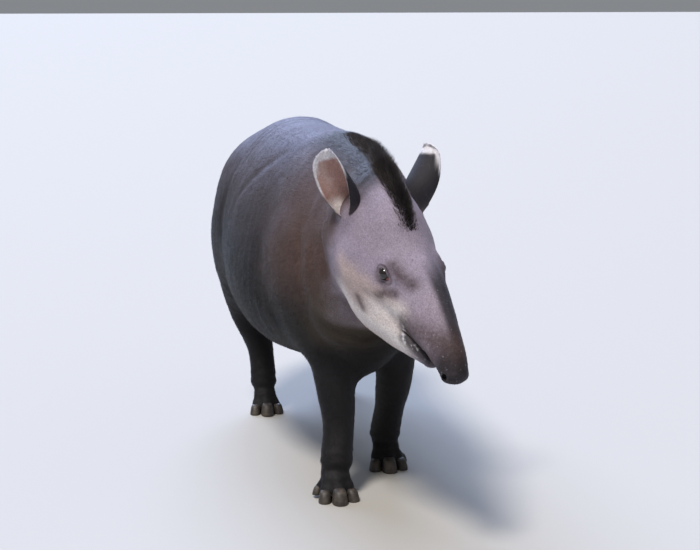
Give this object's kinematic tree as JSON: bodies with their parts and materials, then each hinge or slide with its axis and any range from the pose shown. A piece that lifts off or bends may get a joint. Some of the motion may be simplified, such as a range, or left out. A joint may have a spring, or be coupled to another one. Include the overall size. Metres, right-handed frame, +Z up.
{
  "type": "lowland tapir",
  "caption": "Life-size model of a lowland tapir, walking with its head low and turned a little left, with a short mane from forehead to withers.",
  "frame": {"origin": "on the floor, under the middle of the animal's box", "axes": "+X towards the head, +Y to the animal's left, +Z up"},
  "size_m": [1.7026, 0.5256, 0.9293],
  "materials": {
    "coat": "short smooth grey-brown coat",
    "leg": "short dark coat",
    "face": "short pale grey coat on cheek and jaw",
    "snout": "soft dark skin with sparse hair",
    "ear": "dark short coat with a white rim at the tip",
    "eye": "moist dark brown eye",
    "hoof": "dull dark horn"
  },
  "bodies": {
    "root": {"torso_chest": "coat", "torso_belly": "coat", "torso_rump": "coat", "tail": "coat", "neck": "coat", "head": "face", "ear_right": "ear", "ear_left": "ear", "snout": "snout", "lower_jaw": "face", "eye_right": "eye", "eye_left": "eye", "foreleg_right_upper": "coat", "foreleg_right_lower": "leg", "foreleg_right_foot": "leg", "foreleg_right_hoof_inner": "hoof", "foreleg_right_hoof_middle": "hoof", "foreleg_right_hoof_outer": "hoof", "foreleg_right_hoof_fourth": "hoof", "foreleg_left_upper": "coat", "foreleg_left_lower": "leg", "foreleg_left_foot": "leg", "foreleg_left_hoof_inner": "hoof", "foreleg_left_hoof_middle": "hoof", "foreleg_left_hoof_outer": "hoof", "foreleg_left_hoof_fourth": "hoof", "hindleg_right_upper": "coat", "hindleg_right_lower": "leg", "hindleg_right_foot": "leg", "hindleg_right_hoof_inner": "hoof", "hindleg_right_hoof_middle": "hoof", "hindleg_right_hoof_outer": "hoof", "hindleg_left_upper": "coat", "hindleg_left_lower": "leg", "hindleg_left_foot": "leg", "hindleg_left_hoof_inner": "hoof", "hindleg_left_hoof_middle": "hoof", "hindleg_left_hoof_outer": "hoof"}
  },
  "joints": []
}
